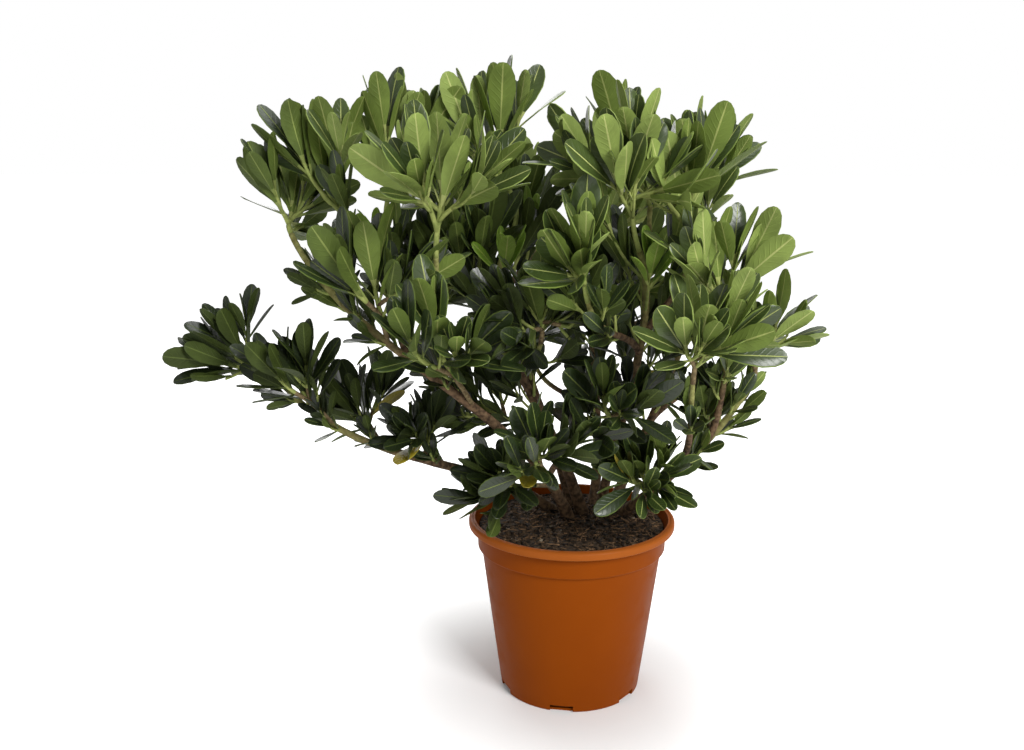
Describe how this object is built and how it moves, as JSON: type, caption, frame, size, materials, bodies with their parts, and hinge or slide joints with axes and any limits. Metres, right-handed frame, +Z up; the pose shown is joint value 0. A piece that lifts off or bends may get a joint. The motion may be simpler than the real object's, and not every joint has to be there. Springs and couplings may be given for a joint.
{
  "type": "potted shrub",
  "caption": "Potted broadleaf evergreen shrub: arching woody stems and rosettes of leathery spoon-shaped leaves in a tapered plastic nursery pot.",
  "frame": {"origin": "centre of the pot's flat underside", "axes": "+Z up out of the pot, +X to the plant's right as seen from its front, +Y towards its back"},
  "size_m": [0.8629, 0.6214, 0.8586],
  "materials": {
    "pot_plastic": "satin terracotta-coloured moulded plastic",
    "potting_mix": "dark crumbly potting mix of peat and bark fibre",
    "bark": "rough grey-brown bark",
    "foliage": "leathery leaves, glossy dark above and matt pale beneath, on green twigs"
  },
  "bodies": {
    "root": {"pot": "pot_plastic", "soil": "potting_mix", "left_stem": "bark", "low_left_stem": "bark", "centre_stem": "bark", "right_centre_stem": "bark", "right_stem": "bark", "back_right_stem": "bark", "back_left_stem": "bark", "back_stem": "bark", "left_upper_bough": "bark", "left_front_bough": "bark", "front_low_bough": "bark", "centre_front_bough": "bark", "centre_back_bough": "bark", "bright_bough": "bark", "right_top_bough": "bark", "right_outer_bough": "bark", "right_upper_bough": "bark", "right_face_bough": "bark", "inner_right_bough": "bark", "back_right_bough": "bark", "back_left_bough": "bark", "back_low_bough": "bark", "far_left_leaves": "foliage", "left_back_leaves": "foliage", "left_upper_leaves": "foliage", "left_front_leaves": "foliage", "left_face_leaves": "foliage", "left_middle_leaves": "foliage", "low_left_tip_leaves": "foliage", "low_left_outer_leaves": "foliage", "low_left_leaves": "foliage", "low_inner_left_leaves": "foliage", "rim_leaves": "foliage", "front_low_leaves": "foliage", "front_middle_leaves": "foliage", "centre_front_leaves": "foliage", "bright_leaves": "foliage", "top_centre_leaves": "foliage", "centre_back_leaves": "foliage", "right_top_front_leaves": "foliage", "right_top_leaves": "foliage", "right_high_leaves": "foliage", "far_right_top_leaves": "foliage", "right_upper_leaves": "foliage", "right_outer_leaves": "foliage", "right_face_leaves": "foliage", "right_low_leaves": "foliage", "low_right_leaves": "foliage", "inner_left_leaves": "foliage", "inner_middle_leaves": "foliage", "inner_right_leaves": "foliage", "back_right_leaves": "foliage", "back_top_leaves": "foliage", "back_left_top_leaves": "foliage", "back_left_leaves": "foliage", "back_low_leaves": "foliage", "back_middle_leaves": "foliage"}
  },
  "joints": []
}
